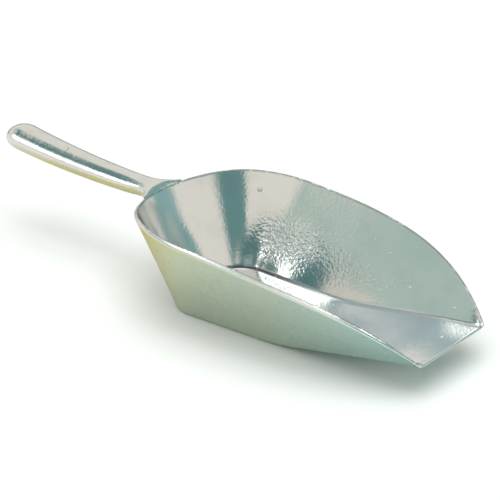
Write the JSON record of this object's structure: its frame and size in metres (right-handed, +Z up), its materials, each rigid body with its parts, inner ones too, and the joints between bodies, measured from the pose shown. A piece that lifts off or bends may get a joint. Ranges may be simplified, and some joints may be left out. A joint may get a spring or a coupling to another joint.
{
  "type": "feed scoop",
  "caption": "Cast aluminium feed scoop: open bowl with a flat heel, a ramped front and a straight lip, and a solid oval grip that flares into the back of the rim.",
  "frame": {"origin": "on the surface that the scoop rests on, under the middle of its overall length and width", "axes": "+X forward to the bowl's lip, with the handle at -X; +Y to the left; +Z up"},
  "size_m": [0.3926, 0.1444, 0.0777],
  "materials": {
    "cast_aluminium": "tumbled cast aluminium, satin, with a fine cast grain inside the bowl",
    "polished_aluminium": "polished cast aluminium with small casting marks"
  },
  "bodies": {
    "root": {"bowl": "cast_aluminium", "handle": "polished_aluminium"}
  },
  "joints": []
}
